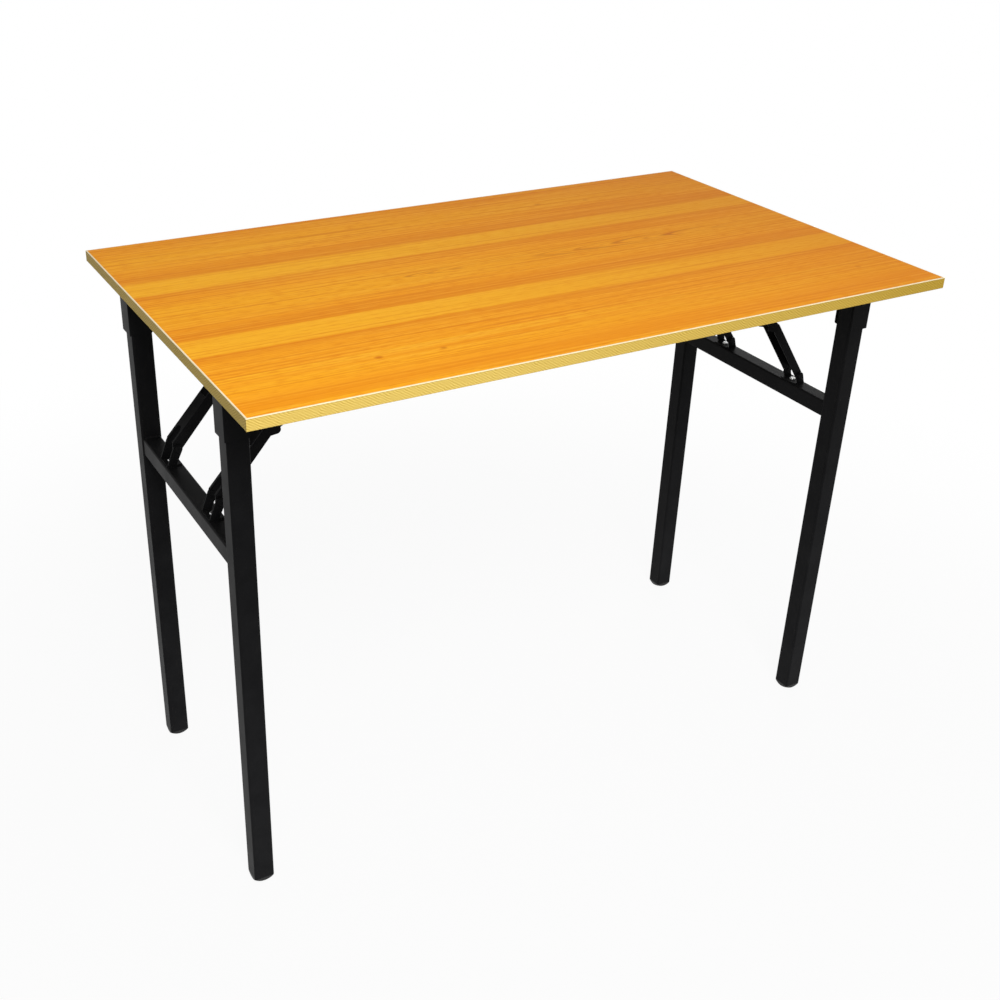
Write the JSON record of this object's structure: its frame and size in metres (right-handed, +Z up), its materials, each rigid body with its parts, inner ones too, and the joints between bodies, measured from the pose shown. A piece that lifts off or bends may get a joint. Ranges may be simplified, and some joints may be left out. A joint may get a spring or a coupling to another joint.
{
  "type": "folding desk",
  "caption": "Rectangular wood-print desk on square-tube leg frames that fold flat under the top, each held open by elbow braces above a crossbar.",
  "frame": {"origin": "centre of the footprint, on the floor", "axes": "+X along the length of the top, +Y from the front edge to the back edge, +Z up"},
  "size_m": [1, 0.6, 0.75],
  "materials": {
    "particle_board": "raw",
    "wood_print_laminate": "satin",
    "backing_laminate": "matte",
    "edge_band_plastic": "matte",
    "black_powder_coat": "satin",
    "black_plastic": "matte",
    "zinc_plated_steel": "satin"
  },
  "bodies": {
    "table": {"board_core": "particle_board", "top_laminate": "wood_print_laminate", "bottom_laminate": "backing_laminate", "edge_band_front": "edge_band_plastic", "edge_band_back": "edge_band_plastic", "edge_band_left": "edge_band_plastic", "edge_band_right": "edge_band_plastic", "hinge_bracket_left_front": "black_powder_coat", "brace_anchor_left_front": "black_powder_coat", "hinge_bracket_left_back": "black_powder_coat", "brace_anchor_left_back": "black_powder_coat", "hinge_bracket_right_front": "black_powder_coat", "brace_anchor_right_front": "black_powder_coat", "hinge_bracket_right_back": "black_powder_coat", "brace_anchor_right_back": "black_powder_coat", "hinge_bracket_screws": "zinc_plated_steel", "brace_anchor_screws": "zinc_plated_steel", "hinge_pins": "black_powder_coat", "anchor_pins": "zinc_plated_steel"},
    "lower_arm_left_front": {"lower_arm_left_front": "black_powder_coat", "elbow_rivets_left_front": "black_powder_coat"},
    "upper_arm_left_front": {"upper_arm_left_front": "black_powder_coat"},
    "lower_arm_left_back": {"lower_arm_left_back": "black_powder_coat", "elbow_rivets_left_back": "black_powder_coat"},
    "upper_arm_left_back": {"upper_arm_left_back": "black_powder_coat"},
    "frame_left": {"crossbar_left": "black_powder_coat", "clevis_rivets_left": "zinc_plated_steel", "lower_pivot_rivets_left": "black_powder_coat", "leg_left_front": "black_powder_coat", "foot_plug_left_front": "black_plastic", "clevis_left_front": "black_powder_coat", "leg_left_back": "black_powder_coat", "foot_plug_left_back": "black_plastic", "clevis_left_back": "black_powder_coat"},
    "lower_arm_right_front": {"lower_arm_right_front": "black_powder_coat", "elbow_rivets_right_front": "black_powder_coat"},
    "upper_arm_right_front": {"upper_arm_right_front": "black_powder_coat"},
    "lower_arm_right_back": {"lower_arm_right_back": "black_powder_coat", "elbow_rivets_right_back": "black_powder_coat"},
    "upper_arm_right_back": {"upper_arm_right_back": "black_powder_coat"},
    "frame_right": {"crossbar_right": "black_powder_coat", "clevis_rivets_right": "zinc_plated_steel", "lower_pivot_rivets_right": "black_powder_coat", "leg_right_front": "black_powder_coat", "foot_plug_right_front": "black_plastic", "clevis_right_front": "black_powder_coat", "leg_right_back": "black_powder_coat", "foot_plug_right_back": "black_plastic", "clevis_right_back": "black_powder_coat"}
  },
  "joints": [
    {"name": "left_leg_fold", "type": "hinge", "parent": "table", "child": "frame_left", "pos_m": [-0.4707, 0, 0.715], "axis": [0, -1, 0], "range_deg": [0, 90]},
    {"name": "left_front_upper_arm", "type": "hinge", "parent": "table", "child": "upper_arm_left_front", "pos_m": [-0.3127, -0.0805, 0.717], "axis": [0, 1, 0], "range_deg": [0, 46.48]},
    {"name": "left_front_lower_arm", "type": "hinge", "parent": "frame_left", "child": "lower_arm_left_front", "pos_m": [-0.4647, -0.0805, 0.543], "axis": [0, -1, 0], "range_deg": [0, 47.93]},
    {"name": "left_back_upper_arm", "type": "hinge", "parent": "table", "child": "upper_arm_left_back", "pos_m": [-0.3127, 0.0805, 0.717], "axis": [0, 1, 0], "range_deg": [0, 46.48]},
    {"name": "left_back_lower_arm", "type": "hinge", "parent": "frame_left", "child": "lower_arm_left_back", "pos_m": [-0.4647, 0.0805, 0.543], "axis": [0, -1, 0], "range_deg": [0, 47.93]},
    {"name": "right_leg_fold", "type": "hinge", "parent": "table", "child": "frame_right", "pos_m": [0.4707, 0, 0.685], "axis": [0, 1, 0], "range_deg": [0, 90]},
    {"name": "right_front_upper_arm", "type": "hinge", "parent": "table", "child": "upper_arm_right_front", "pos_m": [0.3387, -0.0805, 0.717], "axis": [0, -1, 0], "range_deg": [0, 47.51]},
    {"name": "right_front_lower_arm", "type": "hinge", "parent": "frame_right", "child": "lower_arm_right_front", "pos_m": [0.4707, -0.0805, 0.531], "axis": [0, 1, 0], "range_deg": [0, 29.29]},
    {"name": "right_back_upper_arm", "type": "hinge", "parent": "table", "child": "upper_arm_right_back", "pos_m": [0.3387, 0.0805, 0.717], "axis": [0, -1, 0], "range_deg": [0, 47.51]},
    {"name": "right_back_lower_arm", "type": "hinge", "parent": "frame_right", "child": "lower_arm_right_back", "pos_m": [0.4707, 0.0805, 0.531], "axis": [0, 1, 0], "range_deg": [0, 29.29]}
  ],
  "couplings": [
    {"joint": "left_front_upper_arm", "follows": "left_leg_fold", "ratio": 0.51637},
    {"joint": "left_front_lower_arm", "follows": "left_leg_fold", "ratio": 0.53249},
    {"joint": "left_back_upper_arm", "follows": "left_leg_fold", "ratio": 0.51637},
    {"joint": "left_back_lower_arm", "follows": "left_leg_fold", "ratio": 0.53249},
    {"joint": "right_front_upper_arm", "follows": "right_leg_fold", "ratio": 0.5278},
    {"joint": "right_front_lower_arm", "follows": "right_leg_fold", "ratio": 0.32538},
    {"joint": "right_back_upper_arm", "follows": "right_leg_fold", "ratio": 0.5278},
    {"joint": "right_back_lower_arm", "follows": "right_leg_fold", "ratio": 0.32538}
  ]
}
